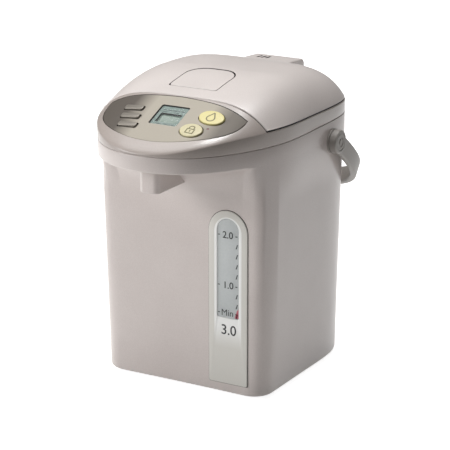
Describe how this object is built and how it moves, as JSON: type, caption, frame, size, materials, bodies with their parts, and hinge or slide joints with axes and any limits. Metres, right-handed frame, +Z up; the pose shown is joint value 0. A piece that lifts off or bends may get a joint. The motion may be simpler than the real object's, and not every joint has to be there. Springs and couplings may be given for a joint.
{
  "type": "electric thermo pot",
  "caption": "Electric hot-water dispensing pot with a domed lid, sloped control area over a spout, level gauge, carrying handle, steel vessel and magnetically driven pump.",
  "frame": {"origin": "on the standing surface, below the middle of the lower body's width and 87 mm behind its front panel", "axes": "+Z up, -Y towards the spout and the user, +X towards the side with the level gauge"},
  "size_m": [0.2246, 0.2993, 0.3125],
  "materials": {
    "shell": "satin champagne moulding with a fine pearl tint",
    "lid": "light champagne moulding, smooth satin gloss",
    "panel": "taupe metallic lacquer, satin",
    "display_lens": "clear acrylic lens",
    "display": "grey-green display",
    "circuit_board": "green board laminate",
    "dark_moulding": "dark grey moulding",
    "lamp": "orange light pipe",
    "pour_yellow": "pale yellow moulding, satin gloss",
    "lock_yellow": "paler yellow moulding, satin gloss",
    "gauge_plate": "light grey moulding, satin",
    "clear_window": "clear acrylic window",
    "gauge_back": "pale grey moulding",
    "glass_tube": "clear glass tube",
    "handle_moulding": "grey-beige moulding, fine grain",
    "inner_moulding": "light grey moulding",
    "base_moulding": "grey moulding",
    "steel": "plain stainless sheet and rod",
    "aluminium_part": "cast, dull",
    "brass_part": "plain",
    "silicone": "soft milky silicone",
    "rubber": "dark rubber"
  },
  "bodies": {
    "root": {"body_shell": "shell", "upper_frame": "shell", "mouth_plate": "inner_moulding", "control_panel": "panel", "lcd_lens": "display_lens", "lcd_module": "display", "control_board": "circuit_board", "tact_switches": "dark_moulding", "lock_lamp": "lamp", "spout_cover": "shell", "spout_nozzle": "dark_moulding", "gauge_bezel": "gauge_plate", "gauge_window": "clear_window", "gauge_scale": "gauge_back", "gauge_tube": "glass_tube", "handle_bushings": "dark_moulding", "handle_pins": "steel", "hinge_bracket": "dark_moulding", "hinge_pin": "steel", "pot_liner": "steel", "liner_seal": "silicone", "heater_plate": "aluminium_part", "band_heater": "steel", "thermostat": "brass_part", "pump_housing": "inner_moulding", "pump_cover": "inner_moulding", "pump_motor": "steel", "inlet_strainer": "steel", "riser_tube": "silicone", "outlet_tube": "silicone", "base_plate": "base_moulding", "feet": "rubber", "base_screws": "steel", "power_socket": "dark_moulding", "power_pins": "steel", "power_board": "circuit_board"},
    "handle": {"handle": "handle_moulding"},
    "lid": {"lid_cover": "lid", "lid_core": "inner_moulding", "lid_inner_plate": "steel", "lid_gasket": "silicone", "lid_hinge_arm": "inner_moulding", "lever_pin": "steel", "latch_spring": "steel", "vent_cover": "lid", "steam_duct": "inner_moulding", "steam_trap": "inner_moulding"},
    "lever": {"lid_lever": "lid"},
    "latch": {"latch_slide": "dark_moulding"},
    "pour_button": {"pour_button": "pour_yellow"},
    "lock_button": {"lock_button": "lock_yellow"},
    "key_top": {"key_top": "panel"},
    "key_middle": {"key_middle": "panel"},
    "key_bottom": {"key_bottom": "panel"},
    "impeller": {"impeller": "dark_moulding"},
    "motor_rotor": {"drive_magnet": "steel"}
  },
  "joints": [
    {"name": "handle_swing", "type": "hinge", "parent": "root", "child": "handle", "pos_m": [0, 0.0375, 0.241], "axis": [1, 0, 0], "range_deg": [0, 126]},
    {"name": "lid_open", "type": "hinge", "parent": "root", "child": "lid", "pos_m": [0, 0.1085, 0.281], "axis": [-1, 0, 0], "range_deg": [0, 75]},
    {"name": "lever_lift", "type": "hinge", "parent": "lid", "child": "lever", "pos_m": [0, -0.0205, 0.30805], "axis": [-1, 0, 0], "range_deg": [0, 20], "stiffness_Nm_per_rad": 0.14},
    {"name": "latch_draw", "type": "slide", "parent": "lid", "child": "latch", "axis": [0, 1, 0], "range_m": [0, 0.0041], "stiffness_N_per_m": 0.4, "deforming": ["latch_spring"]},
    {"name": "pour_button_press", "type": "slide", "parent": "root", "child": "pour_button", "axis": [-0.1167, 0.4018, -0.9083], "range_m": [0, 0.001], "stiffness_N_per_m": 900},
    {"name": "lock_button_press", "type": "slide", "parent": "root", "child": "lock_button", "axis": [-0.0565, 0.4149, -0.9081], "range_m": [0, 0.001], "stiffness_N_per_m": 900},
    {"name": "key_top_press", "type": "slide", "parent": "root", "child": "key_top", "axis": [0.0687, 0.4027, -0.9127], "range_m": [0, 0.001], "stiffness_N_per_m": 900},
    {"name": "key_middle_press", "type": "slide", "parent": "root", "child": "key_middle", "axis": [0.0539, 0.4101, -0.9105], "range_m": [0, 0.001], "stiffness_N_per_m": 900},
    {"name": "key_bottom_press", "type": "slide", "parent": "root", "child": "key_bottom", "axis": [0.0378, 0.4173, -0.908], "range_m": [0, 0.001], "stiffness_N_per_m": 900},
    {"name": "motor_spin", "type": "hinge", "parent": "root", "child": "motor_rotor", "pos_m": [0.03632, -0.03328, 0.034], "axis": [0, 0, 1], "continuous": true},
    {"name": "impeller_spin", "type": "hinge", "parent": "root", "child": "impeller", "pos_m": [0.03632, -0.03328, 0.045], "axis": [0, 0, 1], "continuous": true}
  ],
  "couplings": [
    {"joint": "latch_draw", "follows": "lever_lift", "m_per_rad": 0.011459},
    {"joint": "impeller_spin", "follows": "motor_spin", "ratio": 1}
  ]
}
